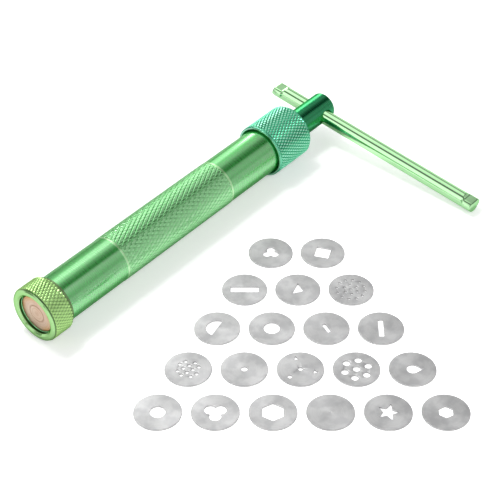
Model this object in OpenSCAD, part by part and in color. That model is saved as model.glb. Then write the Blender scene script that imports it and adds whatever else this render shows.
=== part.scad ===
// Hand cranked clay extruder with its set of twenty dies.
// The barrel lies along X with its nose at the -X end, on the plane z = 0.
// The dies lie beside it on the same plane, on the -Y side.
// Turned pieces are drawn as profiles of [radius, distance from the ring's front face].

/* [Barrel] */
// Bore that the clay and the piston run in
bore_d = 18; // [15:0.5:22]
// Wall of the plain barrel
barrel_wall = 2; // [1.6:0.1:4]
// Length of the barrel from end face to end face
barrel_len = 163.6; // [140:0.2:200]
// Plain length between the barrel's front end and the grip
grip_setback = 45; // [20:0.5:50]
// Length of the knurled grip
grip_len = 70.5; // [30:0.5:72]
// How far the grip stands above the plain barrel
grip_rise = 0.15; // [0.05:0.05:0.5]
// Chamfer on the barrel's ends and at both ends of the grip
barrel_chamfer = 0.5; // [0.2:0.1:0.8]
// Length of thread turned on each end of the barrel
end_thread_len = 9; // [6:0.5:9.5]
// Depth of the relief groove behind each end thread
thread_relief = 0.6; // [0.3:0.1:0.8]
// Width of the relief groove behind each end thread
thread_relief_len = 1; // [0.5:0.1:1.4]

/* [Front ring] */
// Wall of the front ring and the rear cap over their threads
collar_wall = 1.95; // [1.5:0.05:3]
// Length of the front ring
ring_len = 12.7; // [12:0.1:16]
// Thickness of the lip that holds a die
lip_t = 1; // [0.8:0.1:2]
// How much wider the opening in the lip is than the bore
opening_extra = 0.6; // [0.2:0.1:1]
// Chamfer around the opening
opening_chamfer = 0.4; // [0.2:0.1:0.7]
// Chamfer around the ring's front face
ring_front_chamfer = 0.7; // [0.3:0.1:1.2]
// Length of the taper at the back of the ring
ring_taper_len = 2; // [1:0.1:3]
// Drop in radius over that taper
ring_taper_drop = 1.5; // [0.5:0.1:1.5]

/* [Rear cap] */
// Length of the rear cap
cap_len = 24; // [20:0.5:30]
// Thickness of the cap's end wall, which carries the feed thread
cap_web = 7.3; // [5:0.1:10]
// Chamfer around the cap's mouth, inside and outside
cap_mouth_chamfer = 0.6; // [0.2:0.1:0.7]
// Radius of the cap's rounded rear edge
cap_rear_round = 1.6; // [0.5:0.1:2.5]
// Countersink where the feed screw leaves the cap
cap_countersink = 0.7; // [0.2:0.1:1.5]

/* [Feed screw] */
// Crest diameter of the feed thread
screw_d = 12; // [10:0.5:13]
// Diameter of the hub at the screw's rear end
hub_d = 13.6; // [13.2:0.1:18]
// Length of the hub
hub_len = 25.2; // [20:0.1:40]
// Distance from the hub's rear face to the bar's hole
hub_hole_setback = 6.9; // [6:0.1:10]
// Rounding of the hub's rear edge
hub_round = 1; // [0.3:0.1:2]
// Diameter of the neck that carries the piston
neck_d = 6.8; // [5:0.1:7.4]
// Diameter of the button on the end of the neck
button_d = 9.6; // [8.8:0.1:10]
// Thickness of the button
button_t = 2.2; // [1.5:0.1:3]

/* [Piston] */
// Length of the piston
piston_len = 8.6; // [8.2:0.1:12]
// Thickness of the piston's front wall
piston_front = 2.4; // [1.6:0.1:2.6]
// Distance that the piston stops short of the barrel's front end
piston_short = 0.1; // [0.1:0.1:1]
// Depth of the turned rings in the piston's face
face_ring_depth = 0.15; // [0.05:0.05:0.3]
// Thickness of the seal's round section
seal_section = 1.7; // [1.2:0.1:2]
// Distance from the piston's front face to the seal's groove
seal_setback = 1.4; // [1:0.1:3]
// Thickness of the clip that holds the button in the piston
clip_t = 1; // [0.8:0.1:1.2]
// How far the clip reaches into the piston's wall
clip_grip = 0.7; // [0.4:0.1:1]
// Gap in the clip, for springing it in
clip_gap = 3; // [2:0.5:5]

/* [Tommy bar] */
// Diameter of the bar
bar_d = 7; // [5:0.5:8]
// Length of the bar
bar_len = 120; // [100:1:150]
// Length of the bar on its short side of the barrel's axis
bar_short = 24.5; // [16:0.5:40]
// Length of the pressed flat at each end
stake_len = 6; // [4:0.5:8]
// Depth of the pressed flat
stake_depth = 1; // [0.5:0.1:1.5]
// How far the pressed metal spreads on each side
stake_spread = 0.7; // [0.5:0.1:1.2]

/* [Die blanks] */
// How far a die laps over the end of the barrel's bore
die_lap = 1; // [0.7:0.1:1.2]
// Thickness of a die
die_t = 0.8; // [0.6:0.1:1.5]
// Chamfer around a die
die_chamfer = 0.12; // [0.05:0.01:0.25]
// Gap between neighbours in a row of dies
die_gap = 3.5; // [1:0.5:8]
// Distance from one row of dies to the next
die_row_pitch = 24.7; // [23:0.1:32]
// Number of dies in the shortest row
shortest_row = 2; // [2:1:2]
// Distance of the middle row's centre from the nose, along the barrel
dies_x = 77; // [60:1:100]
// Distance of the middle row's centre from the barrel's axis
dies_y = 82.5; // [82:0.5:110]
// Turn of the rows from the barrel's direction
dies_turn = -49.8; // [-55:0.1:-45]

/* [Die openings] */
// Diameter of a lobe of the small trefoil
small_lobe_d = 3.6; // [2:0.1:4]
// Distance of its lobes from the die's centre
small_lobe_r = 1.95; // [1:0.05:2]
// Side of the square
square_w = 6.6; // [3:0.1:9]
// Length of the wide slot
wide_slot_l = 12.4; // [6:0.1:15]
// Width of the wide slot
wide_slot_w = 3.4; // [1:0.1:5]
// Base of the triangle
triangle_base = 7.2; // [3:0.1:9]
// Height of the triangle
triangle_h = 4.2; // [3:0.1:7]
// Diameter of the nineteen fine holes
fine_hole_d = 1.1; // [0.6:0.1:1.3]
// Radius of the inner ring of fine holes
fine_inner_r = 3; // [2.5:0.1:3.5]
// Radius of the outer ring of fine holes
fine_outer_r = 6.3; // [5.5:0.1:7.5]
// Radius of the half round
half_round_r = 4.8; // [2:0.1:7]
// Diameter of the large round
large_round_d = 7; // [4:0.1:12]
// Length of the short slot
short_slot_l = 5.4; // [3:0.1:8]
// Width of the short slot
short_slot_w = 1.6; // [0.6:0.1:3]
// Length of the long slot
long_slot_l = 10.3; // [6:0.1:14]
// Width of the long slot
long_slot_w = 2.2; // [0.6:0.1:4]
// Diameter of the twelve holes
grid_hole_d = 1.6; // [0.8:0.1:2]
// Pitch of the twelve holes
grid_pitch = 2.9; // [2.4:0.1:4]
// Diameter of the small round
small_round_d = 2.8; // [1:0.1:4]
// Diameter of the two round strand holes
strand_hole_d = 2; // [1:0.1:3]
// Side of the two three-cornered strand holes
strand_corner_w = 2.4; // [1:0.1:3]
// Radius that the outer strand holes lie on
strand_r = 6.4; // [5:0.1:7]
// Diameter of the seven holes
seven_hole_d = 3.1; // [1.5:0.1:4]
// Radius that six of the seven holes lie on
seven_ring_r = 5.3; // [4.6:0.1:6]
// Diameter of the teardrop's round end
teardrop_d = 5.1; // [3:0.1:7]
// Distance from the teardrop's round centre to its point
teardrop_reach = 4.5; // [4:0.1:7]
// Diameter of the medium round
medium_round_d = 6.5; // [3:0.1:10]
// Diameter of a lobe of the large trefoil
large_lobe_d = 5; // [3:0.1:6]
// Distance of its lobes from the die's centre
large_lobe_r = 2.45; // [1.5:0.05:3]
// Large hexagon, across its flats
large_hex_w = 8.7; // [4:0.1:12]
// Diameter of the lathe's centre mark on the blank die
centre_mark_d = 0.8; // [0.4:0.1:1.5]
// Distance from the star's centre to its points
star_point_r = 4.8; // [3:0.1:7]
// Distance from the star's centre to its inner corners
star_inner_r = 2.1; // [1:0.1:2.8]
// Small hexagon, across its flats
small_hex_w = 5.8; // [3:0.1:8]

/* [Fits] */
// Radial clearance of a threaded joint, drawn without its thread
thread_fit = 0.05; // [0.02:0.01:0.1]
// Radial clearance of the piston and its seal in the bore
piston_fit = 0.05; // [0.02:0.01:0.1]
// Radial clearance of a die in its seat
die_fit = 0.3; // [0.1:0.05:0.3]
// Play of a die between the lip and the barrel
die_play = 0.1; // [0.05:0.05:0.3]
// Clearance of the bar in its hole
bar_fit = 0.1; // [0.02:0.01:0.1]
// Gap between faces that stop against each other
stop_gap = 0.2; // [0.1:0.05:0.3]
// Clearance around the button and the clip
swivel_gap = 0.2; // [0.1:0.05:0.25]

/* [Hidden] */
$fn = 96;

barrel_r = bore_d / 2 + barrel_wall;
thread_bore_r = barrel_r + thread_fit;
collar_r = thread_bore_r + collar_wall;
die_d = bore_d + 2 * die_lap;
die_seat_r = die_d / 2 + die_fit;
opening_r = (bore_d + opening_extra) / 2;

// Stations along the barrel, from the front face of the ring
barrel_x0 = lip_t + die_t + die_play;
barrel_x1 = barrel_x0 + barrel_len;
grip_x0 = barrel_x0 + grip_setback;
grip_x1 = grip_x0 + grip_len;
web_x0 = barrel_x1 + stop_gap;
cap_x1 = web_x0 + cap_web;
cap_x0 = cap_x1 - cap_len;
hub_x0 = cap_x1 + stop_gap;
hub_x1 = hub_x0 + hub_len;
hub_hole_x = hub_x1 - hub_hole_setback;
piston_x0 = barrel_x0 + piston_short;
piston_x1 = piston_x0 + piston_len;
button_x0 = piston_x0 + piston_front + swivel_gap;
button_x1 = button_x0 + button_t;
clip_x0 = button_x1 + swivel_gap;
clip_x1 = clip_x0 + clip_t;
screw_x0 = piston_x1 + 2 * swivel_gap;

piston_r = bore_d / 2 - piston_fit;
seal_groove_r = piston_r - seal_section;
seal_groove_len = seal_section + 2 * swivel_gap;
socket_r = button_d / 2 + swivel_gap;
clip_r = socket_r + clip_grip;
screw_r = screw_d / 2;
hub_r = hub_d / 2;
bar_r = bar_d / 2;

// The bar leans until the foot of its long end meets the plane that the tool lies on
bar_long = bar_len - bar_short;
bar_lean = asin(collar_r / norm([bar_long, bar_r])) - atan(bar_r / bar_long);

// Centres of the dies, row by row from the shortest, each row one longer than the last
die_pitch = die_d + die_gap;
die_rows = 5;
middle_row = 2;
die_spots = [
    for (row = [0:die_rows - 1])
        for (i = [0:shortest_row + row - 1])
            let (
                along = (i - (shortest_row + row - 1) / 2) * die_pitch,
                back = (middle_row - row) * die_row_pitch
            )
            [
                dies_x + along * cos(dies_turn) - back * sin(dies_turn),
                -dies_y + along * sin(dies_turn) + back * cos(dies_turn)
            ]
];

// Middle of the whole set, which is moved to the origin
set_x0 = min(0, min([for (spot = die_spots) spot[0]]) - die_d / 2);
set_y0 = min([for (spot = die_spots) spot[1]]) - die_d / 2;
set_y1 = bar_short * cos(bar_lean) + bar_r * sin(bar_lean);
mid_x = (set_x0 + hub_x1) / 2;
mid_y = (set_y0 + set_y1) / 2;

// Puts what is drawn along +Z from the ring's front face on the barrel's axis
module on_barrel_axis() {
    translate([-mid_x, -mid_y, collar_r])
        rotate([0, 90, 0])
            children();
}

// Puts what is drawn along +Z on the bar's axis, with +Z towards its long end
module on_bar_axis() {
    translate([hub_hole_x - mid_x, -mid_y, collar_r])
        rotate([90 + bar_lean, 0, 0])
            children();
}

// Quarter circle of a rounded outer edge, as profile points from the side to the face
function round_edge(r, x, size, steps = 8) = [
    for (i = [0:steps])
        [r - size + size * cos(90 * i / steps), x - size + size * sin(90 * i / steps)]
];

module turned(profile) {
    rotate_extrude() polygon(profile);
}

module barrel() {
    front_groove = barrel_x0 + end_thread_len;
    rear_groove = barrel_x1 - end_thread_len;
    grip_r = barrel_r + grip_rise;
    groove_r = barrel_r - thread_relief;
    bore_r = bore_d / 2;
    color("seagreen")
        on_barrel_axis()
            turned([
                [bore_r, barrel_x0 + barrel_chamfer / 2],
                [bore_r + barrel_chamfer / 2, barrel_x0],
                [barrel_r - barrel_chamfer, barrel_x0],
                [barrel_r, barrel_x0 + barrel_chamfer],
                [barrel_r, front_groove - thread_relief_len],
                [groove_r, front_groove - thread_relief_len],
                [groove_r, front_groove],
                [barrel_r, front_groove],
                [barrel_r, grip_x0],
                [grip_r, grip_x0 + grip_rise],
                [grip_r, grip_x1 - grip_rise],
                [barrel_r, grip_x1],
                [barrel_r, rear_groove],
                [groove_r, rear_groove],
                [groove_r, rear_groove + thread_relief_len],
                [barrel_r, rear_groove + thread_relief_len],
                [barrel_r, barrel_x1 - barrel_chamfer],
                [barrel_r - barrel_chamfer, barrel_x1],
                [bore_r + barrel_chamfer / 2, barrel_x1],
                [bore_r, barrel_x1 - barrel_chamfer / 2]
            ]);
}

module front_ring() {
    seat_x1 = lip_t + die_t + die_play;
    color("yellowgreen")
        on_barrel_axis()
            turned([
                [opening_r, opening_chamfer],
                [opening_r + opening_chamfer, 0],
                [collar_r - ring_front_chamfer, 0],
                [collar_r, ring_front_chamfer],
                [collar_r, ring_len - ring_taper_len],
                [collar_r - ring_taper_drop, ring_len],
                [thread_bore_r, ring_len],
                [thread_bore_r, seat_x1],
                [die_seat_r, seat_x1],
                [die_seat_r, lip_t],
                [opening_r, lip_t]
            ]);
}

module rear_cap() {
    screw_hole_r = screw_r + thread_fit;
    color("mediumseagreen")
        on_barrel_axis()
            turned(concat(
                [
                    [thread_bore_r, cap_x0 + cap_mouth_chamfer],
                    [thread_bore_r + cap_mouth_chamfer, cap_x0],
                    [collar_r - cap_mouth_chamfer, cap_x0],
                    [collar_r, cap_x0 + cap_mouth_chamfer]
                ],
                round_edge(collar_r, cap_x1, cap_rear_round),
                [
                    [screw_hole_r + cap_countersink, cap_x1],
                    [screw_hole_r, cap_x1 - cap_countersink],
                    [screw_hole_r, web_x0 + cap_countersink],
                    [screw_hole_r + cap_countersink, web_x0],
                    [thread_bore_r, web_x0]
                ]
            ));
}

// The threaded rod, its hub and the neck that the piston swivels on are one turned piece
module feed_screw() {
    neck_r = neck_d / 2;
    lead_in = screw_r - neck_r;
    color("teal")
        difference() {
            on_barrel_axis()
                turned(concat(
                    [
                        [0, button_x0],
                        [button_d / 2, button_x0],
                        [button_d / 2, button_x1],
                        [neck_r, button_x1],
                        [neck_r, screw_x0],
                        [screw_r, screw_x0 + lead_in],
                        [screw_r, hub_x0],
                        [hub_r, hub_x0]
                    ],
                    round_edge(hub_r, hub_x1, hub_round),
                    [[0, hub_x1]]
                ));
            on_bar_axis()
                cylinder(r = bar_r + bar_fit, h = 2 * hub_d, center = true);
        }
}

// One end of the bar, pressed flat on top so that its sides spread, with +Z to the tip
module staked_end() {
    flat_y = bar_r - stake_depth;
    spread_r = bar_r + stake_spread;
    intersection() {
        union() {
            cylinder(r = bar_r, h = stake_len);
            intersection() {
                cylinder(r = spread_r, h = stake_len);
                translate([-spread_r, -stake_depth, 0])
                    cube([2 * spread_r, flat_y + stake_depth, stake_len]);
            }
        }
        translate([-spread_r, -spread_r, 0])
            cube([2 * spread_r, spread_r + flat_y, stake_len]);
    }
}

module tommy_bar() {
    color("palegreen")
        on_bar_axis() {
            translate([0, 0, stake_len - bar_short])
                cylinder(r = bar_r, h = bar_len - 2 * stake_len);
            translate([0, 0, bar_long - stake_len])
                staked_end();
            translate([0, 0, stake_len - bar_short])
                mirror([0, 0, 1])
                    staked_end();
        }
}

module piston() {
    chamfer = 0.3;
    groove_x0 = piston_x0 + seal_setback;
    groove_x1 = groove_x0 + seal_groove_len;
    clip_groove_x0 = clip_x0 - swivel_gap / 2;
    clip_groove_x1 = clip_x1 + swivel_gap / 2;
    socket_x0 = piston_x0 + piston_front;
    face_ring_r = piston_r * 0.45;
    color("peru")
        on_barrel_axis()
            turned([
                [0, piston_x0],
                [face_ring_r - face_ring_depth, piston_x0],
                [face_ring_r, piston_x0 + face_ring_depth],
                [face_ring_r + face_ring_depth, piston_x0],
                [piston_r - chamfer, piston_x0],
                [piston_r, piston_x0 + chamfer],
                [piston_r, groove_x0],
                [seal_groove_r, groove_x0],
                [seal_groove_r, groove_x1],
                [piston_r, groove_x1],
                [piston_r, piston_x1 - chamfer],
                [piston_r - chamfer, piston_x1],
                [socket_r, piston_x1],
                [socket_r, clip_groove_x1],
                [clip_r, clip_groove_x1],
                [clip_r, clip_groove_x0],
                [socket_r, clip_groove_x0],
                [socket_r, socket_x0],
                [0, socket_x0]
            ]);
}

module piston_seal() {
    seal_x = piston_x0 + seal_setback + seal_groove_len / 2;
    color("dimgray")
        on_barrel_axis()
            translate([0, 0, seal_x])
                rotate_extrude()
                    translate([seal_groove_r + seal_section / 2, 0])
                        circle(d = seal_section, $fn = 48);
}

// An internal spring clip, whose gap lets it be squeezed into its groove
module piston_clip() {
    clip_inner_r = neck_d / 2 + swivel_gap;
    color("silver")
        on_barrel_axis()
            difference() {
                translate([0, 0, clip_x0])
                    cylinder(r = clip_r - swivel_gap / 4, h = clip_t);
                translate([0, 0, clip_x0 - clip_t])
                    cylinder(r = clip_inner_r, h = 3 * clip_t);
                translate([0, -clip_gap / 2, clip_x0 - clip_t])
                    cube([2 * clip_r, clip_gap, 3 * clip_t]);
            }
}

// A die lying on the plane at its place in the rows, pierced by the outline it is given
module die(spot) {
    r = die_d / 2;
    color("gainsboro")
        translate([die_spots[spot][0] - mid_x, die_spots[spot][1] - mid_y, 0])
            rotate(dies_turn)
                difference() {
                    turned([
                        [0, 0],
                        [r - die_chamfer, 0],
                        [r, die_chamfer],
                        [r, die_t - die_chamfer],
                        [r - die_chamfer, die_t],
                        [0, die_t]
                    ]);
                    translate([0, 0, -die_t])
                        linear_extrude(3 * die_t)
                            children();
                }
}

module trefoil(lobe_d, lobe_r, turn) {
    circle(r = lobe_r);
    for (i = [0:2])
        rotate(turn + 120 * i)
            translate([lobe_r, 0])
                circle(d = lobe_d);
}

module ring_of_holes(count, ring_r, turn, hole_d) {
    for (i = [0:count - 1])
        rotate(turn + 360 * i / count)
            translate([ring_r, 0])
                circle(d = hole_d, $fn = 32);
}

// A hexagon standing on a corner, with two flats upright
module hexagon(across_flats) {
    rotate(90)
        circle(d = across_flats / cos(30), $fn = 6);
}

module die_small_trefoil() {
    die(0) trefoil(small_lobe_d, small_lobe_r, 90);
}

module die_square() {
    die(1) rotate(-15) square(square_w, center = true);
}

module die_wide_slot() {
    die(2) square([wide_slot_l, wide_slot_w], center = true);
}

module die_triangle() {
    die(3)
        rotate(-22)
            polygon([
                [-triangle_h / 3, -triangle_base / 2],
                [2 * triangle_h / 3, 0],
                [-triangle_h / 3, triangle_base / 2]
            ]);
}

module die_nineteen_hole() {
    die(4) {
        circle(d = fine_hole_d, $fn = 32);
        ring_of_holes(6, fine_inner_r, 35, fine_hole_d);
        ring_of_holes(12, fine_outer_r, 20, fine_hole_d);
    }
}

module die_half_round() {
    die(5)
        rotate(62)
            intersection() {
                circle(r = half_round_r);
                translate([-half_round_r, 0])
                    square([2 * half_round_r, half_round_r]);
            }
}

module die_large_round() {
    die(6) circle(d = large_round_d);
}

module die_short_slot() {
    die(7) rotate(-62) square([short_slot_l, short_slot_w], center = true);
}

module die_long_slot() {
    die(8) square([long_slot_w, long_slot_l], center = true);
}

// A four by four grid that lacks its corners
module die_twelve_hole() {
    die(9)
        rotate(-57)
            for (i = [-1.5:1.5], j = [-1.5:1.5])
                if (abs(i) < 1 || abs(j) < 1)
                    translate([i * grid_pitch, j * grid_pitch])
                        circle(d = grid_hole_d, $fn = 32);
}

module die_small_round() {
    die(10) circle(d = small_round_d);
}

// Two round and two three-cornered holes, for strands that are twisted into a cord
module die_strand() {
    die(11) {
        circle(d = strand_hole_d, $fn = 32);
        rotate(-135) translate([strand_r, 0]) circle(d = strand_hole_d, $fn = 32);
        for (turn = [105, -15])
            rotate(turn) translate([strand_r, 0]) circle(d = strand_corner_w / cos(30), $fn = 3);
    }
}

module die_seven_hole() {
    die(12) {
        circle(d = seven_hole_d);
        ring_of_holes(6, seven_ring_r, 20, seven_hole_d);
    }
}

// A circle whose two tangents meet in a point
module die_teardrop() {
    r = teardrop_d / 2;
    tangent_turn = acos(r / teardrop_reach);
    die(13) {
        circle(r = r);
        polygon([
            [0, 0],
            [r * cos(tangent_turn), -r * sin(tangent_turn)],
            [teardrop_reach, 0],
            [r * cos(tangent_turn), r * sin(tangent_turn)]
        ]);
    }
}

module die_medium_round() {
    die(14) circle(d = medium_round_d);
}

module die_large_trefoil() {
    die(15) trefoil(large_lobe_d, large_lobe_r, -90);
}

module die_large_hexagon() {
    die(16) hexagon(large_hex_w);
}

// The blank die closes the barrel, and shows only the mark of the lathe's centre
module die_blank() {
    mark_r = centre_mark_d / 2;
    color("gainsboro")
        translate([die_spots[17][0] - mid_x, die_spots[17][1] - mid_y, 0])
            turned([
                [0, 0],
                [die_d / 2 - die_chamfer, 0],
                [die_d / 2, die_chamfer],
                [die_d / 2, die_t - die_chamfer],
                [die_d / 2 - die_chamfer, die_t],
                [mark_r, die_t],
                [0, die_t - mark_r / 2]
            ]);
}

module die_star() {
    die(18)
        polygon([
            for (i = [0:9])
                let (r = i % 2 == 0 ? star_point_r : star_inner_r)
                [r * cos(36 * i), r * sin(36 * i)]
        ]);
}

module die_small_hexagon() {
    die(19) hexagon(small_hex_w);
}

barrel();
front_ring();
rear_cap();
feed_screw();
tommy_bar();
piston();
piston_seal();
piston_clip();
die_small_trefoil();
die_square();
die_wide_slot();
die_triangle();
die_nineteen_hole();
die_half_round();
die_large_round();
die_short_slot();
die_long_slot();
die_twelve_hole();
die_small_round();
die_strand();
die_seven_hole();
die_teardrop();
die_medium_round();
die_large_trefoil();
die_large_hexagon();
die_blank();
die_star();
die_small_hexagon();
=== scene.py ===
"""The looks of the pottery clay extruder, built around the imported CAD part.

Sizes are in millimetres along the barrel's axis from the front ring's face, and become metres in on_axis().
"""
import math

import bmesh
import bpy
from mathutils import Matrix, Vector


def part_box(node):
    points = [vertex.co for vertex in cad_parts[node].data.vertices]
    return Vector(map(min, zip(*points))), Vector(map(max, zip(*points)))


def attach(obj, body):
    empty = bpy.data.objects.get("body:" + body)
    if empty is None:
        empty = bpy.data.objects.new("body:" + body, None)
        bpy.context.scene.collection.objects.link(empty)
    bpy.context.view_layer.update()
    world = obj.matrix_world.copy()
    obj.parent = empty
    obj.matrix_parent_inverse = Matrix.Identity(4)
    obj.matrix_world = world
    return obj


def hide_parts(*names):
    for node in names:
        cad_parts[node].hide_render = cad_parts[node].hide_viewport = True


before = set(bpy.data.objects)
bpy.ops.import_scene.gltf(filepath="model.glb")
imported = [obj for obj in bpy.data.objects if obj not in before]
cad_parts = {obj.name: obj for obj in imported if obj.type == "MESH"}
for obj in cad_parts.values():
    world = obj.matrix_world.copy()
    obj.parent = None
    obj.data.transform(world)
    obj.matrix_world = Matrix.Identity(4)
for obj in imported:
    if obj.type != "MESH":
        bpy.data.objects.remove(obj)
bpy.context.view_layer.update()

MM = 0.001
TAU = 2 * math.pi

# Driving sizes, as the source has them, from here to the clearances: the barrel
BORE_R = 9.0
BARREL_WALL = 2.0
BARREL_LEN = 163.6
GRIP_SETBACK = 45.0
GRIP_LEN = 70.5
GRIP_RISE = 0.15
THREAD_LEN = 9.0
RELIEF_LEN = 1.0
RELIEF_DEPTH = 0.6

# The front ring and the rear cap
COLLAR_WALL = 1.95
RING_LEN = 12.7
RING_LIP = 1.0
RING_TAPER_LEN = 2.0
RING_TAPER_DROP = 1.5
OPENING_RISE = 0.3
CAP_LEN = 24.0
CAP_WEB = 7.3
CAP_ROUND = 1.6
CAP_COUNTERSINK = 0.7

# The feed screw
SCREW_R = 6.0
HUB_R = 6.8
HUB_LEN = 25.2
HUB_HOLE_SETBACK = 6.9
HUB_ROUND = 1.0
NECK_R = 3.4
BUTTON_R = 4.8
BUTTON_THICK = 2.2

# The piston, its seal and its clip
PISTON_LEN = 8.6
PISTON_FRONT = 2.4
PISTON_SHORT = 0.1
MARK_DEPTH = 0.15
SEAL_SECTION = 1.7
SEAL_SETBACK = 1.4
CLIP_THICK = 1.0
CLIP_GRIP = 0.7

# The tommy bar
BAR_R = 3.5
BAR_LEN = 120.0
BAR_SHORT = 24.5
STAKE_LEN = 6.0
STAKE_DEPTH = 1.0
STAKE_SPREAD = 0.7

# The dies
DIE_LAP = 1.0
DIE_THICK = 0.8

# Clearances
THREAD_FIT = 0.05
PISTON_FIT = 0.05
DIE_FIT = 0.3
DIE_PLAY = 0.1
BAR_FIT = 0.1
STOP_GAP = 0.2
SWIVEL_GAP = 0.2

# Radii worked out from them
BARREL_R = BORE_R + BARREL_WALL
GRIP_R = BARREL_R + GRIP_RISE
THREAD_BORE_R = BARREL_R + THREAD_FIT
COLLAR_R = THREAD_BORE_R + COLLAR_WALL
RING_TAPER_R = COLLAR_R - RING_TAPER_DROP
OPENING_R = BORE_R + OPENING_RISE
DIE_R = BORE_R + DIE_LAP
DIE_SEAT_R = DIE_R + DIE_FIT
PISTON_R = BORE_R - PISTON_FIT
SEAL_GROOVE_R = PISTON_R - SEAL_SECTION
SOCKET_R = BUTTON_R + SWIVEL_GAP
CLIP_GROOVE_R = SOCKET_R + CLIP_GRIP

# Places worked out from them, behind the nose
BARREL_START = RING_LIP + DIE_THICK + DIE_PLAY
BARREL_END = BARREL_START + BARREL_LEN
GRIP_START = BARREL_START + GRIP_SETBACK
GRIP_END = GRIP_START + GRIP_LEN
CAP_WEB_START = BARREL_END + STOP_GAP
CAP_END = CAP_WEB_START + CAP_WEB
CAP_START = CAP_END - CAP_LEN
HUB_START = CAP_END + STOP_GAP
HUB_END = HUB_START + HUB_LEN
HUB_HOLE = HUB_END - HUB_HOLE_SETBACK
PISTON_START = BARREL_START + PISTON_SHORT
PISTON_END = PISTON_START + PISTON_LEN
SEAL_START = PISTON_START + SEAL_SETBACK
SEAL_END = SEAL_START + SEAL_SECTION + 2 * SWIVEL_GAP
SOCKET_START = PISTON_START + PISTON_FRONT
BUTTON_START = SOCKET_START + SWIVEL_GAP
BUTTON_END = BUTTON_START + BUTTON_THICK
CLIP_GROOVE_START = BUTTON_END + SWIVEL_GAP / 2
CLIP_GROOVE_END = CLIP_GROOVE_START + CLIP_THICK + SWIVEL_GAP
SCREW_START = PISTON_END + 2 * SWIVEL_GAP

# The bar leans until the foot of its long end meets the plane that the tool lies on
BAR_LONG = BAR_LEN - BAR_SHORT
BAR_LEAN = math.asin(COLLAR_R / math.hypot(BAR_LONG, BAR_R)) - math.atan(BAR_R / BAR_LONG)

# Threads, which the source leaves plain
END_PITCH = 1.0
BARREL_ROOT_R = BARREL_R - 0.5
NUT_ROOT_R = THREAD_BORE_R + 0.4
FEED_PITCH = 2.0
FEED_ROOT_R = 5.1
FEED_RUN_IN = 1.6
FEED_RUN_OUT = 1.4

# Knurls, and the plain lands beside the grip's
LAND_LEN = 1.1
LAND_R = GRIP_R - 0.03
LAND_STEP = 0.1
GRIP_FLOOR_R = GRIP_R - 0.22
COLLAR_KNURL = {"depth": 0.34, "count": 50, "length": 2.9}

# Edges and finish, as the photograph shows them
BORE_CHAMFER = 0.2
BARREL_CHAMFER = 0.3
OPENING_CHAMFER = 1.0
CAP_MOUTH_CHAMFER = 0.95
PISTON_CHAMFER = 0.3
MARK_R = PISTON_R * 0.45
MARK_HALF = 0.22
RING_POLISHED_LEN = 0.7
CAP_POLISHED_HIGHLIGHT_LEN = 0.12
DIE_EDGE = 0.06
SHARP_ANGLE = math.radians(35)
TOOL_MARKS_PER_MM = 2.6

# The hub's cross hole, flared outside its straight part, and the bulge of the bar's pressed ends
HOLE_R = BAR_R + BAR_FIT
HOLE_FLARE = 2.5
HOLE_STRAIGHT = 5.6
HOLE_OUTSIDE = 9.0
BULGE_MIDDLE = 0.6
BULGE_HALF = 1.7

# Where the barrel's skin starts and ends, inside the bore
BORE_SEAM = 60.0

# The photograph's viewpoint, fitted to the tool's ring, barrel, cap, hub and bar, in metres
CAMERA_PLACE = (-0.41994, -0.32252, 0.48740)
CAMERA_VIEW = (0.57632, 0.48728, -0.65606)
FOCAL_LENGTH = 117.7

ring_low, ring_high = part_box("front_ring")
NOSE_X = ring_low.x
AXIS_Y = (ring_low.y + ring_high.y) / 2
AXIS_Z = (ring_low.z + ring_high.z) / 2


def on_axis(x, r, angle):
    """A point at x from the nose and r from the barrel's axis; the angle runs from +Z towards the dies."""
    return Vector((NOSE_X + x * MM, AXIS_Y - r * MM * math.sin(angle), AXIS_Z + r * MM * math.cos(angle)))


# ---------------------------------------------------------------- turned pieces


def eased(points, ease):
    """The outline with each inner corner rounded, and a support point beside each long side's end.

    The rounding takes ease from both of a corner's sides, and never more than 0.4 of either.
    """
    out = [points[0]]
    for before, corner, after in zip(points, points[1:], points[2:]):
        to_before = Vector((before[0] - corner[0], before[1] - corner[1]))
        to_after = Vector((after[0] - corner[0], after[1] - corner[1]))
        cut = min(ease, 0.4 * to_before.length, 0.4 * to_after.length)
        a = to_before.normalized()
        b = to_after.normalized()
        here = Vector(corner)
        if to_before.length > 6 * cut:
            out.append(tuple(here + a * cut * 1.6))
        for t in (0.0, 0.25, 0.5, 0.75, 1.0):
            out.append(tuple(here + a * cut * (1 - t) ** 2 + b * cut * t ** 2))
        if to_after.length > 6 * cut:
            out.append(tuple(here + b * cut * 1.6))
    out.append(points[-1])
    return out


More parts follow.
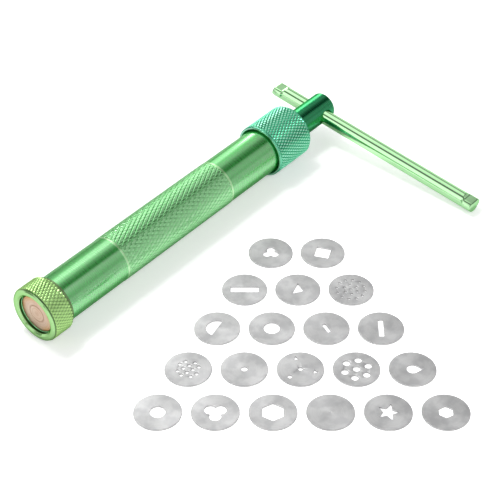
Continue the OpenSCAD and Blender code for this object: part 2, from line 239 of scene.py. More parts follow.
class Turning:
    """A turned piece, grown row by row along its outline into one closed skin.

    around is its number of steps around the axis, a multiple of twice a knurl's count.
    """

    def __init__(self, around):
        self.around = around
        self.mesh = bmesh.new()
        self.first = None
        self.row = None
        self.tops = []

    def vert(self, x, r, step):
        """A point step steps around the axis."""
        return self.mesh.verts.new(on_axis(x, r, TAU * step / self.around))

    def circle(self, x, r):
        """A row of points around the axis, or one point repeated where the outline meets it."""
        if r < 1e-6:
            return [self.vert(x, 0, 0)] * self.around
        return [self.vert(x, r, step) for step in range(self.around)]

    def face(self, *verts, smooth=True):
        """A face of the points that differ, if there are three of them."""
        distinct = list(dict.fromkeys(verts))
        if len(distinct) > 2:
            made = self.mesh.faces.new(distinct)
            made.smooth = smooth
            return made

    def join(self, row):
        """Skins from the last row to this one."""
        if self.row is None:
            self.first = row
        else:
            for k in range(self.around):
                m = (k + 1) % self.around
                self.face(self.row[k], self.row[m], row[m], row[k])
        self.row = row

    def along(self, points):
        """Turns an outline of points, each a distance from the nose and a radius."""
        for x, r in points:
            self.join(self.circle(x, r))

    def thread(self, x0, x1, crest, root, pitch):
        """A right-hand thread that runs out to its root at both ends.

        A nut's thread has its crest inside its root.
        """
        self.join(self.circle(x0, root))
        rows = {x0: self.row, x1: self.circle(x1, root)}
        low, high = sorted(rows)
        # One turn's outline: each point's share of the pitch, and its radius
        form = ((0.0, root), (0.2, crest), (0.5, crest), (0.7, root))
        made = {}

        def point(p, k):
            """Point p of the turns' outline, k steps around."""
            if k == self.around:
                p, k = p + 4, 0
            share, r = form[p % 4]
            x = low + pitch * (p // 4 - 1 + share + k / self.around)
            if x <= low:
                return rows[low][k]
            if x >= high:
                return rows[high][k]
            if (p, k) not in made:
                made[p, k] = self.vert(x, r, k)
            return made[p, k]

        for p in range(4 * (math.ceil((high - low) / pitch) + 2)):
            for k in range(self.around):
                self.face(point(p, k), point(p, k + 1), point(p + 1, k + 1), point(p + 1, k))
        self.row = rows[x1]

    def knurl(self, x0, x1, crest, depth, count, length, tops, saddle, taper_from=0.0, slope=0.0):
        """A rolled diamond knurl: count diamonds around, each about length long.

        tops are the shares of a diamond that its flat top takes between the two pairs of grooves.
        saddle is the share of the depth that a groove has halfway between two crossings.
        From taper_from on the knurl drops towards the axis, by slope.
        """
        def tapered(x, r):
            return r - slope * max(0.0, x - taper_from)

        valley = crest - depth
        # The plain metal at both ends lies a little below the grooves
        rim = valley - 0.05
        self.join(self.circle(x0, rim))
        start, end = self.row, self.circle(x1, tapered(x1, rim))
        wide = self.around // (2 * count)
        rows = round(2 * (x1 - x0) / length)
        step = (x1 - x0) / rows
        made = {}

        def place(i, j, r):
            """The point i half diamonds around and j along, at radius r before the taper."""
            key = (i % (2 * count), j)
            if key not in made:
                # Both ends are bevelled: what stands higher keeps further from them
                lead = 0.7 * (r - rim)
                x = min(max(x0 + j * step, x0 + lead), x1 - lead)
                made[key] = self.vert(x, tapered(x, r), i * wide)
            return made[key]

        def corner(i, j):
            return place(i, j, valley)

        # How far a flat top's corners are from its middle, in half diamonds
        long, short = (tops[0] + tops[1]) / 2, (tops[0] - tops[1]) / 2
        for i in range(2 * count):
            for j in range(rows + 1):
                if (i + j) % 2 == 0:
                    continue
                east, west = place(i + long, j + short, crest), place(i - long, j - short, crest)
                north = place(i + short, j + long, crest) if j < rows else None
                south = place(i - short, j - long, crest) if j > 0 else None
                self.tops.append(self.face(*(v for v in (east, north, west, south) if v), smooth=False))
                for tip, way in ((north, 1), (south, -1)):
                    if tip is None:
                        continue
                    for side in (way, -way):
                        flank = east if side > 0 else west
                        foot, head = corner(i + side, j), corner(i, j + way)
                        dip = place(i + side / 2, j + way / 2, crest - saddle * depth)
                        self.face(foot, dip, flank, smooth=False)
                        self.face(dip, tip, flank, smooth=False)
                        self.face(dip, head, tip, smooth=False)
                if north is None or south is None:
                    edge = end if north is None else start
                    foot = [edge[(i * wide + k) % self.around] for k in range(wide, -wide - 1, -1)]
                    self.face(corner(i - 1, j), west, east, corner(i + 1, j), *foot, smooth=False)
        self.row = end

    def finished(self, name):
        """The piece, with its last row joined to its first, unless both are points on the axis."""
        self.join(self.first)
        bmesh.ops.recalc_face_normals(self.mesh, faces=self.mesh.faces)
        self.mesh.faces.index_update()
        tops = {face.index for face in self.tops}
        obj = as_object(name, self.mesh)
        if tops:
            shade_round(obj.data, tops)
        return obj


def shade_round(mesh, tops):
    """Gives the flat tops of a knurl the shading of the cylinder that they were rolled from."""
    normals = [Vector((0, 0, 0))] * len(mesh.loops)
    for index in tops:
        for loop in mesh.polygons[index].loop_indices:
            spot = mesh.vertices[mesh.loops[loop].vertex_index].co
            normals[loop] = Vector((0, spot.y - AXIS_Y, spot.z - AXIS_Z)).normalized()
    mesh.normals_split_custom_set(normals)


def as_object(name, bm):
    """An object of the mesh, smooth but for its sharp edges."""
    mesh = bpy.data.meshes.new(name)
    bm.to_mesh(mesh)
    bm.free()
    mesh.set_sharp_from_angle(angle=SHARP_ANGLE)
    obj = bpy.data.objects.new(name, mesh)
    bpy.context.scene.collection.objects.link(obj)
    return obj


def place_piece(obj, body, slot, material, *nodes):
    """Puts the piece on its body, in place of its CAD nodes, with its material."""
    obj.data.materials.clear()
    obj.data.materials.append(material)
    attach(obj, body)
    if nodes:
        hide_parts(*nodes)
    return obj


def second_look(obj, material, end):
    """Gives the smooth faces that lie less than end behind the nose another material."""
    obj.data.materials.append(material)
    for polygon in obj.data.polygons:
        if (polygon.center.x - NOSE_X) / MM < end and polygon.use_smooth:
            polygon.material_index = 1


# ---------------------------------------------------------------- materials


class Nodes:
    """A short way to write a material's node tree. Its values are sockets, numbers or colours."""

    def __init__(self, name):
        self.material = bpy.data.materials.new(name)
        self.material.use_nodes = True
        self.tree = self.material.node_tree
        self.shader = self.tree.nodes["Principled BSDF"]

    def add(self, kind, **settings):
        """A new node of a kind, with its settings."""
        node = self.tree.nodes.new("ShaderNode" + kind)
        for key, value in settings.items():
            setattr(node, key, value)
        return node

    def link(self, source, target):
        self.tree.links.new(source, target)

    def math(self, operation, *values):
        """The result of an operation on its values."""
        node = self.add("Math", operation=operation)
        for socket, value in zip(node.inputs, values):
            if hasattr(value, "links"):
                self.link(value, socket)
            else:
                socket.default_value = value
        return node.outputs[0]

    def object_axes(self):
        """X from the world's origin, and the distance from the barrel's axis, in millimetres."""
        spot = self.add("SeparateXYZ")
        self.link(self.add("TexCoord").outputs["Object"], spot.inputs[0])
        y = self.math("SUBTRACT", spot.outputs[1], AXIS_Y)
        z = self.math("SUBTRACT", spot.outputs[2], AXIS_Z)
        out = self.math("SQRT", self.math("ADD", self.math("MULTIPLY", y, y), self.math("MULTIPLY", z, z)))
        return self.math("MULTIPLY", spot.outputs[0], 1 / MM), self.math("MULTIPLY", out, 1 / MM)

    def rings(self, distance, scale):
        """Uneven rings along a distance in millimetres, about scale of them in each."""
        noise = self.add("TexNoise", noise_dimensions="1D")
        noise.inputs["Scale"].default_value = scale
        noise.inputs["Detail"].default_value = 3.0
        self.link(distance, noise.inputs["W"])
        return noise.outputs["Fac"]

    def cloud(self, scale, detail=3.0):
        """Soft patches, about scale of them in a metre."""
        noise = self.add("TexNoise")
        noise.inputs["Scale"].default_value = scale
        noise.inputs["Detail"].default_value = detail
        self.link(self.add("TexCoord").outputs["Object"], noise.inputs["Vector"])
        return noise.outputs["Fac"]

    def ramp(self, value, low, high, to_low, to_high):
        """to_low up to where the value is low, to_high from where it is high, and even in between."""
        node = self.add("MapRange")
        self.link(value, node.inputs["Value"])
        for socket, number in zip(list(node.inputs)[1:5], (low, high, to_low, to_high)):
            socket.default_value = number
        return node.outputs[0]

    def mix(self, factor, a, b):
        """Colour a where the factor is 0, and b where it is 1."""
        node = self.add("Mix", data_type="RGBA")
        self.link(factor, node.inputs[0])
        for socket, value in ((node.inputs[6], a), (node.inputs[7], b)):
            if hasattr(value, "links"):
                self.link(value, socket)
            else:
                socket.default_value = (*value, 1.0)
        return node.outputs[2]

    def bump(self, height, distance, normal=None):
        """The normal with bumps of up to distance millimetres, on top of another bump's normal."""
        node = self.add("Bump")
        node.inputs["Strength"].default_value = 1.0
        node.inputs["Distance"].default_value = distance * MM
        self.link(height, node.inputs["Height"])
        if normal is not None:
            self.link(normal, node.inputs["Normal"])
        return node.outputs["Normal"]


def anodised(name, colour, pale, roughness=0.38, coat=0.5, coat_roughness=0.16, lines=0.25, depth=0.012,
             wear_and_sheen_radii=None, wear_and_sheen=0.0, groove_shade=0.0):
    """Turned aluminium under a dyed, sealed skin.

    colour is the dye, and pale its lighter tone in the tool marks and on the crests, and the tint of glancing
    reflections.
    lines is how strongly the tool marks show, and depth how deep they are. wear_and_sheen_radii gives the
    radii between which a knurl's crests go pale, partly as wear and partly as painted sheen, as strongly as
    wear_and_sheen says, and groove_shade darkens its grooves as painted shade.
    """
    n = Nodes(name)
    s = n.shader
    s.inputs["Metallic"].default_value = 1.0
    s.inputs["Coat Weight"].default_value = coat
    s.inputs["Coat Roughness"].default_value = coat_roughness
    # The sealed skin mirrors far more than clear lacquer does
    s.inputs["Coat IOR"].default_value = 4.0
    s.inputs["Specular Tint"].default_value = (*pale, 1.0)
    along, out = n.object_axes()
    marks = n.rings(along, TOOL_MARKS_PER_MM)
    dark = [0.72 * c for c in colour]
    tone = n.mix(n.ramp(marks, 0.45, 0.7, 0.0, lines), colour, pale)
    tone = n.mix(n.ramp(marks, 0.45, 0.3, 0.0, lines), tone, dark)
    tone = n.mix(n.ramp(n.cloud(60.0), 0.35, 0.75, 0.0, 0.15), tone, dark)
    # Crests go pale between two radii: partly wear, partly painted sheen
    if wear_and_sheen_radii:
        low, high = wear_and_sheen_radii
        patchy = n.ramp(n.cloud(300.0), 0.3, 0.7, 0.8 * wear_and_sheen, wear_and_sheen)
        rubbed_and_lit = n.math("MULTIPLY", n.ramp(out, low, high, 0.0, 1.0), patchy)
        tone = n.mix(rubbed_and_lit, tone, pale)
        # Grooves darken below the crests' radii: painted shade
        tone = n.mix(n.ramp(out, low, low - 0.15, 0.0, groove_shade), tone, [0.25 * c for c in colour])
    n.link(tone, s.inputs["Base Color"])
    rough = n.ramp(marks, 0.38, 0.62, roughness + 0.6 * lines, roughness - 0.5 * lines)
    n.link(rough, s.inputs["Roughness"])
    n.link(n.bump(n.cloud(2500.0, 2.0), 0.003, n.bump(marks, depth)), s.inputs["Normal"])
    return n.material


def copper():
    """Faced copper alloy: rings of the tool around the disc's middle, a turned mark, warm stains, a darker
    warm rim.
    """
    n = Nodes("turned_copper")
    s = n.shader
    s.inputs["Metallic"].default_value = 1.0
    _, out = n.object_axes()
    marks = n.rings(out, 1.7)
    tone = n.mix(n.ramp(n.cloud(90.0), 0.35, 0.65, 0.0, 1.0), (0.52, 0.36, 0.26), (0.62, 0.50, 0.40))
    tone = n.mix(n.ramp(marks, 0.42, 0.62, 0.0, 0.4), tone, (0.40, 0.24, 0.17))
    mark = n.math("ABSOLUTE", n.math("SUBTRACT", out, MARK_R))
    tone = n.mix(n.ramp(mark, 0.1, 0.35, 0.5, 0.0), tone, (0.26, 0.13, 0.08))
    outwards = n.ramp(out, PISTON_R - 3.2, PISTON_R, 0.0, 1.0)
    patches = n.math("MULTIPLY", outwards, n.ramp(n.cloud(140.0), 0.42, 0.62, 0.1, 1.0))
    rim = n.ramp(out, PISTON_R - 1.2, PISTON_R, 0.0, 0.9)
    tone = n.mix(n.math("MAXIMUM", patches, rim), tone, (0.50, 0.25, 0.06))
    n.link(tone, s.inputs["Base Color"])
    n.link(n.ramp(marks, 0.3, 0.7, 0.34, 0.5), s.inputs["Roughness"])
    n.link(n.bump(marks, 0.02), s.inputs["Normal"])
    return n.material


def steel(name, base):
    """Stamped stainless sheet, its face turned in fine circles around the piece's middle."""
    n = Nodes(name)
    s = n.shader
    s.inputs["Metallic"].default_value = 1.0
    s.inputs["Anisotropic"].default_value = 0.28
    n.link(n.add("Tangent", direction_type="RADIAL", axis="Z").outputs[0], s.inputs["Tangent"])
    # Generated coordinates go from 0 to 1 across a piece
    middle = n.add("VectorMath", operation="SUBTRACT")
    middle.inputs[1].default_value = (0.5, 0.5, 0.5)
    n.link(n.add("TexCoord").outputs["Generated"], middle.inputs[0])
    spot = n.add("SeparateXYZ")
    n.link(middle.outputs[0], spot.inputs[0])
    x, y = spot.outputs[0], spot.outputs[1]
    out = n.math("SQRT", n.math("ADD", n.math("MULTIPLY", x, x), n.math("MULTIPLY", y, y)))
    marks = n.rings(n.math("MULTIPLY", out, 2 * DIE_R), 3.0)
    tone = n.mix(n.ramp(marks, 0.3, 0.7, 0.0, 1.0), (base * 0.92,) * 3, (base * 1.06,) * 3)
    stained = (base * 0.80, base * 0.80, base * 0.81)
    tone = n.mix(n.ramp(n.cloud(220.0), 0.42, 0.62, 0.0, 0.8), tone, stained)
    n.link(tone, s.inputs["Base Color"])
    n.link(n.ramp(marks, 0.3, 0.7, 0.43, 0.55), s.inputs["Roughness"])
    n.link(n.bump(marks, 0.006), s.inputs["Normal"])
    return n.material


def rubber():
    """Black moulded rubber, slightly uneven."""
    n = Nodes("seal_black_rubber")
    s = n.shader
    tone = n.mix(n.ramp(n.cloud(300.0), 0.4, 0.7, 0.0, 1.0), (0.018, 0.018, 0.018), (0.035, 0.035, 0.034))
    n.link(tone, s.inputs["Base Color"])
    n.link(n.ramp(n.cloud(700.0), 0.3, 0.7, 0.45, 0.62), s.inputs["Roughness"])
    n.link(n.bump(n.cloud(1500.0), 0.01), s.inputs["Normal"])
    return n.material


green = anodised("barrel_green", (0.03, 0.44, 0.055), (0.20, 0.66, 0.22), coat=0.54)
# The knurled looks below darken their grooves as painted shade, and pale their crests partly as wear and
# partly as painted sheen
grip_green = anodised("grip_green", (0.045, 0.45, 0.065), (0.38, 0.80, 0.37), roughness=0.34, coat=0.54,
                      lines=0.08, depth=0.003, wear_and_sheen_radii=(GRIP_R - 0.09, GRIP_R), wear_and_sheen=0.35, groove_shade=0.3)
# The plain lands at the grip's ends are painted paler than the barrel beside them: a painted highlight
land_highlight_green = anodised("grip_edge_painted_highlight", (0.32, 0.68, 0.28), (0.44, 0.82, 0.40), roughness=0.42,
                      lines=0.05, depth=0.002)
ring_green = anodised("ring_yellow_green", (0.28, 0.56, 0.12), (0.54, 0.80, 0.32), roughness=0.38, coat=0.25,
                      coat_roughness=0.35, lines=0.08, depth=0.004, wear_and_sheen_radii=(COLLAR_R - 0.14, COLLAR_R - 0.02),
                      wear_and_sheen=0.4, groove_shade=0.9)
# The ring's polished front, in a darker copy of the ring's look: painted shade on the face
nose_shaded_green = anodised("ring_polished_shaded_green", (0.22, 0.48, 0.14), (0.42, 0.70, 0.30), roughness=0.20, coat=0.3,
                      coat_roughness=0.08, lines=0.10, depth=0.002)
# The cap's polished mouth face is painted much paler than the cap: a painted highlight along its rim
mouth_highlight_green = anodised("cap_mouth_painted_highlight", (0.34, 0.76, 0.56), (0.66, 0.96, 0.84), roughness=0.24, coat=0.3,
                       coat_roughness=0.10, lines=0.05, depth=0.002)
cap_green = anodised("cap_teal_green", (0.02, 0.54, 0.27), (0.58, 0.95, 0.78), roughness=0.32, coat=0.15,
                     coat_roughness=0.25, lines=0.08, depth=0.004, wear_and_sheen_radii=(COLLAR_R - 0.10, COLLAR_R - 0.01),
                     wear_and_sheen=0.6, groove_shade=0.55)
screw_green = anodised("screw_dark_teal", (0.001, 0.22, 0.07), (0.10, 0.66, 0.38), roughness=0.24, coat=0.1,
                       coat_roughness=0.12, lines=0.12)
bar_green = anodised("bar_pale_green", (0.32, 0.76, 0.28), (0.42, 0.84, 0.37), roughness=0.10, coat=0.6,
                     coat_roughness=0.05, lines=0.05, depth=0.0)


# ---------------------------------------------------------------- barrel

front_relief = BARREL_START + THREAD_LEN
rear_relief = BARREL_END - THREAD_LEN
relief_r = BARREL_R - RELIEF_DEPTH
knurl_start, knurl_end = GRIP_START + LAND_LEN, GRIP_END - LAND_LEN

barrel = Turning(136)
barrel.along(eased([(BORE_SEAM, BORE_R), (BARREL_START + BORE_CHAMFER, BORE_R),
                    (BARREL_START, BORE_R + BORE_CHAMFER), (BARREL_START, BARREL_ROOT_R)], ease=0.08))
barrel.thread(BARREL_START, front_relief - RELIEF_LEN, BARREL_R, BARREL_ROOT_R, END_PITCH)
barrel.along(eased([(front_relief - RELIEF_LEN, relief_r), (front_relief, relief_r), (front_relief, BARREL_R),
                    (GRIP_START - LAND_STEP, BARREL_R), (GRIP_START, LAND_R),
                    (knurl_start - LAND_STEP, LAND_R), (knurl_start, GRIP_FLOOR_R)], ease=0.06))
barrel.knurl(knurl_start, knurl_end, GRIP_R, depth=0.16, count=34, length=3.77, tops=(0.5, 0.78), saddle=0.8)
barrel.along(eased([(knurl_end, GRIP_FLOOR_R), (knurl_end + LAND_STEP, LAND_R), (GRIP_END, LAND_R),
                    (GRIP_END + LAND_STEP, BARREL_R), (rear_relief, BARREL_R), (rear_relief, relief_r),
                    (rear_relief + RELIEF_LEN, relief_r)], ease=0.06))
barrel.thread(rear_relief + RELIEF_LEN, BARREL_END - BARREL_CHAMFER, BARREL_R, BARREL_ROOT_R, END_PITCH)
barrel.along(eased([(BARREL_END - BARREL_CHAMFER, BARREL_ROOT_R),
                    (BARREL_END, BARREL_ROOT_R - BARREL_CHAMFER),
                    (BARREL_END, BORE_R), (BORE_SEAM, BORE_R)], ease=0.08))
barrel_piece = place_piece(barrel.finished("barrel_tube"), "barrel", "barrel_aluminium", green, "barrel")
barrel_piece.data.materials.append(grip_green)
barrel_piece.data.materials.append(land_highlight_green)
# The knurl takes the grip's look, and the lands beside it the paler look of a painted highlight
for polygon in barrel_piece.data.polygons:
    x = (polygon.center.x - NOSE_X) / MM
    out = math.hypot(polygon.center.y - AXIS_Y, polygon.center.z - AXIS_Z) / MM
    if GRIP_START < x < GRIP_END and out > (BORE_R + BARREL_R) / 2:
        polygon.material_index = 1 if knurl_start < x < knurl_end else 2

# ---------------------------------------------------------------- front ring

ring = Turning(200)
ring.thread(RING_LEN - 0.4, BARREL_START + 0.8, THREAD_BORE_R, NUT_ROOT_R, END_PITCH)
# The die's seat and the lip, then the rounded front edge, and a fine groove between it and the knurl
die_seat = [(BARREL_START, NUT_ROOT_R), (BARREL_START, DIE_SEAT_R),
            (RING_LIP, DIE_SEAT_R), (RING_LIP, OPENING_R)]
front_face = [(RING_POLISHED_LEN, OPENING_R), (0.0, OPENING_R + OPENING_CHAMFER), (0.0, COLLAR_R - 1.2)]
front_groove = [(0.55, COLLAR_R - 0.35), (0.75, COLLAR_R - 0.85), (0.95, COLLAR_R - 0.6)]
ring.along(eased(die_seat + front_face + front_groove, ease=0.16))
ring.knurl(1.0, RING_LEN - 0.8, COLLAR_R, tops=(0.42, 0.42), saddle=0.55,
           taper_from=RING_LEN - RING_TAPER_LEN, slope=0.76, **COLLAR_KNURL)
# The plain rear edge, which the taper ends in
ring.along(eased([(RING_LEN - 0.75, RING_TAPER_R + 0.2), (RING_LEN - 0.5, RING_TAPER_R + 0.22),
                  (RING_LEN, RING_TAPER_R - 0.1), (RING_LEN, NUT_ROOT_R)], ease=0.15))
ring_piece = place_piece(ring.finished("front_ring_knurled"), "front_ring",
                         "ring_aluminium", ring_green, "front_ring")
# The polished front takes the darker look, painted shade
second_look(ring_piece, nose_shaded_green, RING_POLISHED_LEN)

# ---------------------------------------------------------------- rear cap

screw_hole_r = SCREW_R + THREAD_FIT
cap = Turning(200)
cap.thread(CAP_WEB_START - 0.3, BARREL_END - THREAD_LEN + 0.5, THREAD_BORE_R, NUT_ROOT_R, END_PITCH)
# The plain bore before the thread, the chamfered mouth, and the smooth band between it and the knurl
plain_bore = [(CAP_START + x, THREAD_BORE_R) for x in (7.5, 7.0, 1.6, 1.0)]
mouth = [(CAP_START, THREAD_BORE_R + CAP_MOUTH_CHAMFER), (CAP_START, COLLAR_R - 0.5)]
smooth_band = [(CAP_START + x, COLLAR_R - drop) for x, drop in ((0.4, 0.02), (0.7, 0.05), (0.85, 0.5))]
cap.along(eased(plain_bore + mouth + smooth_band, ease=0.08))
cap.knurl(CAP_START + 0.95, CAP_END - CAP_ROUND, COLLAR_R, tops=(0.48, 0.48), saddle=0.75, **COLLAR_KNURL)
# The rounded rear edge, the end face, and the feed thread's countersunk hole through the end wall
cap.along([(CAP_END - CAP_ROUND + 1.55 * math.sin(a), COLLAR_R - 2.1 + CAP_ROUND * math.cos(a))
           for a in (0.15, 0.4, 0.7, 1.0, 1.3, TAU / 4)])
cap.along(eased([(CAP_END, SCREW_R + 2.0), (CAP_END, screw_hole_r + CAP_COUNTERSINK),
                 (CAP_END - CAP_COUNTERSINK, screw_hole_r), (CAP_WEB_START + CAP_COUNTERSINK, screw_hole_r),
                 (CAP_WEB_START, screw_hole_r + CAP_COUNTERSINK), (CAP_WEB_START, NUT_ROOT_R),
                 (CAP_WEB_START - 0.3, NUT_ROOT_R)], ease=0.12))
cap_piece = place_piece(cap.finished("rear_cap_knurled"), "rear_cap", "cap_aluminium", cap_green, "rear_cap")
# The mouth face takes the paler look, a painted highlight
second_look(cap_piece, mouth_highlight_green, CAP_START + CAP_POLISHED_HIGHLIGHT_LEN)

# ---------------------------------------------------------------- feed screw with its hub

screw = Turning(96)
screw.along(eased([(BUTTON_START, 0), (BUTTON_START, BUTTON_R), (BUTTON_END, BUTTON_R), (BUTTON_END, NECK_R),
                   (SCREW_START - 0.3, NECK_R), (SCREW_START + FEED_RUN_IN, FEED_ROOT_R)], ease=0.15))
screw.thread(SCREW_START + FEED_RUN_IN, HUB_START - FEED_RUN_OUT, SCREW_R, FEED_ROOT_R, FEED_PITCH)
screw.along(eased([(HUB_START - FEED_RUN_OUT, FEED_ROOT_R), (HUB_START, FEED_ROOT_R),
                   (HUB_START, HUB_R)], ease=0.1))
screw.along([(HUB_START, HUB_R - 0.15), (HUB_START + 0.15, HUB_R), (HUB_START + 0.4, HUB_R),
             (HUB_END - 1.4, HUB_R)])
screw.along([(HUB_END - HUB_ROUND + HUB_ROUND * math.sin(a), HUB_R - HUB_ROUND + HUB_ROUND * math.cos(a))
             for a in (0, 0.3, 0.6, 0.9, 1.2, TAU / 4)])
# The end face, with the lathe's centre mark
screw.along([(HUB_END, HUB_R - 1.6), (HUB_END, 1.2), (HUB_END - 0.5, 0)])
screw_piece = screw.finished("feed_screw_and_hub")

bar_along = Vector((0, -math.cos(BAR_LEAN), -math.sin(BAR_LEAN)))
bar_up = Vector((0, -math.sin(BAR_LEAN), math.cos(BAR_LEAN)))
bar_side = Vector((1, 0, 0))
bar_middle = on_axis(HUB_HOLE, 0, 0)


def lofted(name, sections):
    """A closed skin through sections: each is a place along the bar, and its points across and up."""
    bm = bmesh.new()
    rows = [[bm.verts.new(bar_middle + (bar_along * t + bar_side * x + bar_up * y) * MM) for x, y in points]
            for t, points in sections]
    for a, b in zip(rows, rows[1:]):
        for k in range(len(a)):
            m = (k + 1) % len(a)
            bm.faces.new((a[k], a[m], b[m], b[k])).smooth = True
    bm.faces.new(rows[0])
    bm.faces.new(rows[-1])
    bmesh.ops.recalc_face_normals(bm, faces=bm.faces)
    return as_object(name, bm)


def round_section(r, points=64):
    """Points of a circle around the bar's axis."""
    return [(r * math.cos(TAU * k / points), r * math.sin(TAU * k / points)) for k in range(points)]


def drill(piece, cutter):
    """Cuts the cutter out of a piece for good, and takes it away."""
    cut = piece.modifiers.new("cross_hole", "BOOLEAN")
    cut.object = cutter
    cut.solver = "EXACT"
    mesh = bpy.data.meshes.new_from_object(piece.evaluated_get(bpy.context.evaluated_depsgraph_get()))
    piece.modifiers.clear()
    piece.data = mesh
    mesh.set_sharp_from_angle(angle=SHARP_ANGLE)
    bpy.data.objects.remove(cutter)


flares = ((-HOLE_OUTSIDE, HOLE_FLARE), (-HOLE_STRAIGHT, 0.0),
          (HOLE_STRAIGHT, 0.0), (HOLE_OUTSIDE, HOLE_FLARE))
hole = lofted("cross_hole", [(place, round_section(HOLE_R + flare)) for place, flare in flares])
drill(screw_piece, hole)
place_piece(screw_piece, "feed_screw", "screw_aluminium", screw_green, "feed_screw")

# ---------------------------------------------------------------- tommy bar


def staked_section(share, r=BAR_R):
    """The bar's round section as it passes, from 0 to 1, into the flat and spread one of its end."""
    flat = BAR_R - share * STAKE_DEPTH
    points = []
    for x, y in round_section(r):
        bulge = math.exp(-((y - BULGE_MIDDLE) / BULGE_HALF) ** 4)
        points.append((x * (1 + share * STAKE_SPREAD / BAR_R * bulge), min(y, flat * r / BAR_R)))
    return points


def bar_end(tip, inward):
    """Sections from the bar's rounded tip to where its shoulder is round again."""
    # How far from the tip, and how much smaller there
    rounding = ((0.0, 0.45), (0.12, 0.2), (0.35, 0.05), (0.7, 0.0))
    # How far short of the pressed end's full length, and how flat there
    shoulder = ((1.6, 1.0), (1.3, 1.0), (0.9, 0.8), (0.4, 0.25), (0.0, 0.0), (-0.3, 0.0))
    return ([(tip + inward * x, staked_section(1.0, BAR_R - drop)) for x, drop in rounding]
            + [(tip + inward * (STAKE_LEN - x), staked_section(share)) for x, share in shoulder])


bar = lofted("tommy_bar_rod", bar_end(-BAR_SHORT, 1) + bar_end(BAR_LONG, -1)[::-1])
place_piece(bar, "tommy_bar", "bar_aluminium", bar_green, "tommy_bar")

# ---------------------------------------------------------------- piston, seal and clip

piston = Turning(128)
piston.along(eased([(PISTON_START, 0), (PISTON_START, MARK_R - MARK_HALF),
                    (PISTON_START + MARK_DEPTH, MARK_R), (PISTON_START, MARK_R + MARK_HALF),
                    (PISTON_START, PISTON_R - PISTON_CHAMFER), (PISTON_START + PISTON_CHAMFER, PISTON_R),
                    (SEAL_START, PISTON_R), (SEAL_START, SEAL_GROOVE_R), (SEAL_END, SEAL_GROOVE_R),
                    (SEAL_END, PISTON_R), (PISTON_END - PISTON_CHAMFER, PISTON_R),
                    (PISTON_END, PISTON_R - PISTON_CHAMFER), (PISTON_END, SOCKET_R),
                    (CLIP_GROOVE_END, SOCKET_R), (CLIP_GROOVE_END, CLIP_GROOVE_R),
                    (CLIP_GROOVE_START, CLIP_GROOVE_R), (CLIP_GROOVE_START, SOCKET_R),
                    (SOCKET_START, SOCKET_R), (SOCKET_START, 0)], ease=0.08))
place_piece(piston.finished("piston_disc"), "piston", "piston_copper", copper(), "piston")


def finish_cad(node, material):
    """Gives a CAD node, whose shape stays as it is, its better material."""
    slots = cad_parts[node].data.materials
    slots.clear()
    slots.append(material)


finish_cad("piston_seal", rubber())
finish_cad("piston_clip", steel("clip_spring_steel", 0.46))

# ---------------------------------------------------------------- dies


def die_disc(node, cad):
    """A copy of a CAD die with softened edges and flat faces."""
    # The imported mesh's faces don't share their points, so those are joined before the edges are softened
    welded = bmesh.new()
    welded.from_mesh(cad.data)
    bmesh.ops.remove_doubles(welded, verts=welded.verts, dist=1e-7)
    disc = as_object(node + "_disc", welded)
    soften = disc.modifiers.new("soft_edges", "BEVEL")
    soften.width = DIE_EDGE * MM
    soften.segments = 2
    soften.limit_method = "ANGLE"
    soften.angle_limit = math.radians(40)
    flat = disc.modifiers.new("flat_faces", "WEIGHTED_NORMAL")
    flat.weight = 100
    return disc


die_look = steel("die_steel_turned", 0.50)
for node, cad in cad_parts.items():
    if node.startswith("die_"):
        place_piece(die_disc(node, cad), node, "die_steel", die_look, node)

# ---------------------------------------------------------------- stage, light and camera


def stage_floor():
    """Pale paper that gives some light of its own, to the camera and, by place, to the metal."""
    bm = bmesh.new()
    bmesh.ops.create_grid(bm, x_segments=2, y_segments=2, size=4.0)
    floor = as_object("floor", bm)
    # A hair below the plane that the tool lies on
    floor.location.z = -0.00005
    n = Nodes("floor_paper")
    n.shader.inputs["Base Color"].default_value = (0.80, 0.80, 0.80, 1)
    n.shader.inputs["Roughness"].default_value = 0.9
    n.shader.inputs["Specular IOR Level"].default_value = 0.1
    spot = n.add("SeparateXYZ")
    n.link(n.add("TexCoord").outputs["Object"], spot.inputs[0])
    x, y, _ = spot.outputs

    # In the metal it is bright from 22 mm in front of the axis, fades far away, and is dull beside the cap
    near = n.ramp(y, AXIS_Y - 0.012, AXIS_Y - 0.022, 0.0, 0.65)
    far = n.ramp(y, AXIS_Y - 0.12, AXIS_Y - 0.4, 0.0, 0.4)
    before_nose = n.ramp(x, NOSE_X, NOSE_X - 0.01, 0.0, 0.6)
    by_barrel = n.math("MAXIMUM", n.ramp(x, 0.06, 0.07, 1.0, 0.2),
                       n.ramp(y, AXIS_Y - 0.045, AXIS_Y - 0.03, 0.2, 1.0))
    in_front = n.math("MULTIPLY", n.math("SUBTRACT", near, far), by_barrel)
    mirrored = n.math("MAXIMUM", in_front, before_nose)

    # To the camera it is brighter around the dies than around the barrel, where it keeps the shadow
    under_dies = n.math("MULTIPLY", n.ramp(y, AXIS_Y - 0.03, AXIS_Y - 0.045, 0.0, 1.0),
                        n.ramp(x, 0.085, 0.07, 0.0, 0.45))

    path = n.add("LightPath")
    to_camera = n.math("MULTIPLY", path.outputs["Is Camera Ray"], n.math("ADD", under_dies, 0.40))
    to_metal = n.math("MULTIPLY", path.outputs["Is Glossy Ray"], mirrored)
    n.link(n.math("MAXIMUM", to_camera, to_metal), n.shader.inputs["Emission Strength"])
    n.shader.inputs["Emission Color"].default_value = (1, 1, 1, 1)
    floor.data.materials.append(n.material)


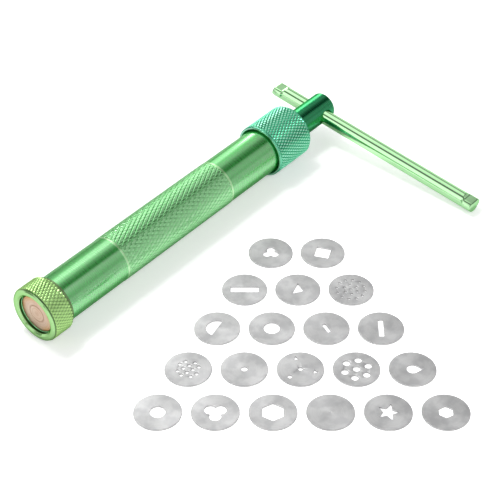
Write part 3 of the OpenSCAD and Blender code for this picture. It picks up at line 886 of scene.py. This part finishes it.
def studio_world():
    """A sky of soft bands, which the metal mirrors as its stripes. It is white to the camera.

    Angles are from straight up: across is towards the dies, and along is towards the nose. The barrel mirrors
    what changes across, and the tommy bar what changes along.
    """
    n = Nodes("studio_sky")
    world = bpy.data.worlds.new("studio")
    bpy.context.scene.world = world
    world.use_nodes = True
    n.tree = world.node_tree
    bpy.data.materials.remove(n.material)
    spot = n.add("SeparateXYZ")
    n.link(n.add("TexCoord").outputs["Generated"], spot.inputs[0])
    x, y, z = spot.outputs
    across = n.math("ARCTAN2", n.math("MULTIPLY", y, -1.0), z)
    along = n.math("ARCTAN2", n.math("MULTIPLY", x, -1.0), z)

    # The tone at each angle across, in degrees
    stops = ((-90, 0.30), (-68, 0.55), (-52, 0.75), (-38, 0.75), (-26, 0.75), (-14, 0.55), (-4, 0.2),
             (18, 0.02), (34, 0.62), (48, 0.68), (62, 0.50), (90, 0.45))
    tones = n.add("ValToRGB")
    tones.color_ramp.interpolation = "EASE"
    for k, (degrees, level) in enumerate(stops):
        # A new ramp has two stops already
        place = (degrees + 90) / 180
        stop = tones.color_ramp.elements[k] if k < 2 else tones.color_ramp.elements.new(place)
        stop.position = place
        stop.color = (level, level, level, 1)
    n.link(n.ramp(across, -math.pi / 2, math.pi / 2, 0.0, 1.0), tones.inputs[0])

    # Two dark gaps, by their middle and half their width in degrees along, in a band just behind the top
    gaps = 1.0
    for degrees, half in ((-54, 4), (20, 10)):
        off = n.math("ABSOLUTE", n.math("SUBTRACT", along, math.radians(degrees)))
        gaps = n.math("MULTIPLY", n.ramp(off, math.radians(half), math.radians(half + 4), 0.16, 1.0), gaps)
    not_far_behind = n.ramp(y, 0.44, 0.52, 1.0, 0.0)
    behind = n.ramp(y, 0.0, 0.15, 0.0, 1.0)
    band = n.math("MULTIPLY", behind, not_far_behind)
    shade = n.math("SUBTRACT", 1.0, n.math("MULTIPLY", band, n.math("SUBTRACT", 1.0, gaps)))

    # Paler from the hub's side of the top to beyond the nose, and again low down beyond the hub
    paler = n.math("MAXIMUM", n.ramp(along, math.radians(-40), math.radians(-30), 0.0, 1.1),
                   n.ramp(along, math.radians(-62), math.radians(-68), 0.0, 0.8))
    lift = n.math("ADD", n.math("MULTIPLY", not_far_behind, paler), 1.0)

    level = n.math("MULTIPLY", n.math("MULTIPLY", tones.outputs[0], lift), shade)
    seen = n.add("LightPath").outputs["Is Camera Ray"]
    background = n.tree.nodes["Background"]
    n.link(n.math("MAXIMUM", level, seen), background.inputs["Strength"])
    background.inputs["Color"].default_value = (1, 1, 1, 1)


def soft_box(name, place, length_along, towards, size, power):
    """An oblong lamp with its long side along one direction, and its face turned to a place."""
    light = bpy.data.lights.new(name, "AREA")
    light.shape = "RECTANGLE"
    light.size, light.size_y = size
    light.energy = power
    lamp = bpy.data.objects.new(name, light)
    lamp.location = place
    x = Vector(length_along).normalized()
    back = Vector(place) - Vector(towards)
    z = (back - back.project(x)).normalized()
    lamp.rotation_euler = Matrix((x, z.cross(x), z)).transposed().to_euler()
    bpy.context.scene.collection.objects.link(lamp)
    return lamp


def photograph_camera():
    """The camera, at the photograph's viewpoint."""
    data = bpy.data.cameras.new("camera")
    data.sensor_width = 36.0
    data.lens = FOCAL_LENGTH
    camera = bpy.data.objects.new("camera", data)
    camera.location = CAMERA_PLACE
    camera.rotation_euler = Vector(CAMERA_VIEW).to_track_quat("-Z", "Y").to_euler()
    bpy.context.scene.collection.objects.link(camera)
    bpy.context.scene.camera = camera


stage_floor()
studio_world()
soft_box("strip_light", place=(0.365, 0.457, 0.190), length_along=(0.216, 0.163, -0.181),
         towards=(-0.015, AXIS_Y, AXIS_Z), size=(0.7, 0.14), power=0.35)
soft_box("hub_light", place=(0.215, 0.216, 0.090), length_along=(0.0, 0.0, 1.0),
         towards=(0.088, AXIS_Y, AXIS_Z), size=(0.07, 0.08), power=0.075)
key = soft_box("key_light", place=(0.0, 0.57, 1.10), length_along=(1.0, 0.0, 0.0),
               towards=(0.0, 0.0, 0.0), size=(0.24, 0.24), power=6.0)
# The polished bar would mirror this lamp as a glaring line, so it alone isn't lit by it
unlit = bpy.data.collections.new("key_receivers")
unlit.objects.link(bar)
unlit.collection_objects[0].light_linking.link_state = "EXCLUDE"
key.light_linking.receiver_collection = unlit

photograph_camera()
bpy.context.scene.view_settings.view_transform = "Standard"
